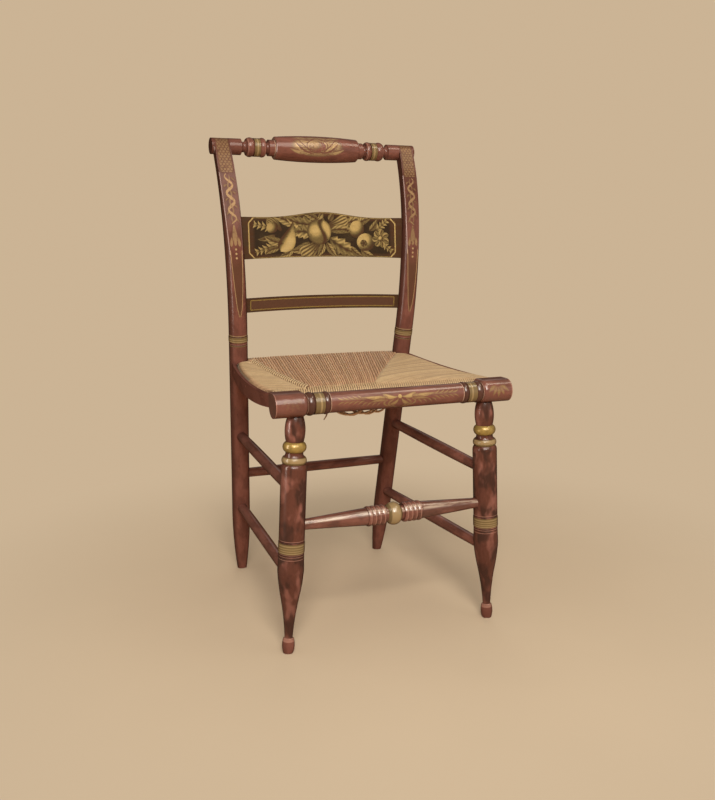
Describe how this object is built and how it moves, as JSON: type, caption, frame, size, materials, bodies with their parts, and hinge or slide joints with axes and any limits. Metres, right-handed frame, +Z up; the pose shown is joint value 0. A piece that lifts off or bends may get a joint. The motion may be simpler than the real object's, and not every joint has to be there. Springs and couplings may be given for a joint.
{
  "type": "side chair",
  "caption": "Turned and bent fancy side chair with a rolled crest, shaped slats, splayed turned legs, round stretchers and a woven rush seat behind a turned front roll.",
  "frame": {"origin": "on the floor under the middle of the chair's bounding box", "axes": "+Z up, -Y is the front, +X is the sitter's left, so the right of the chair seen from the front"},
  "size_m": [0.422, 0.4451, 0.8621],
  "materials": {
    "grained_wood": "red-brown painted graining under varnish, with gilt bands and stencils",
    "dark_painted_wood": "near-black brown ground with gilt stencil and lines, varnished",
    "rush": "twisted natural rush, matte",
    "bare_wood": "unpainted hardwood",
    "brad_iron": "blackened iron"
  },
  "bodies": {
    "root": {"rear_post_left": "grained_wood", "rear_post_right": "grained_wood", "crest_rail": "grained_wood", "wide_slat": "dark_painted_wood", "narrow_slat": "dark_painted_wood", "front_leg_left": "grained_wood", "front_leg_right": "grained_wood", "front_stretcher": "grained_wood", "rear_stretcher": "grained_wood", "side_stretcher_upper_left": "grained_wood", "side_stretcher_upper_right": "grained_wood", "side_stretcher_lower_left": "grained_wood", "side_stretcher_lower_right": "grained_wood", "seat_roll": "grained_wood", "seat_facing_left": "grained_wood", "seat_facing_right": "grained_wood", "rush_seat": "rush", "seat_rail_front": "bare_wood", "seat_rail_rear": "bare_wood", "seat_rail_left": "bare_wood", "seat_rail_right": "bare_wood", "facing_brads": "brad_iron", "slat_pegs": "bare_wood", "crest_pegs": "bare_wood"}
  },
  "joints": []
}
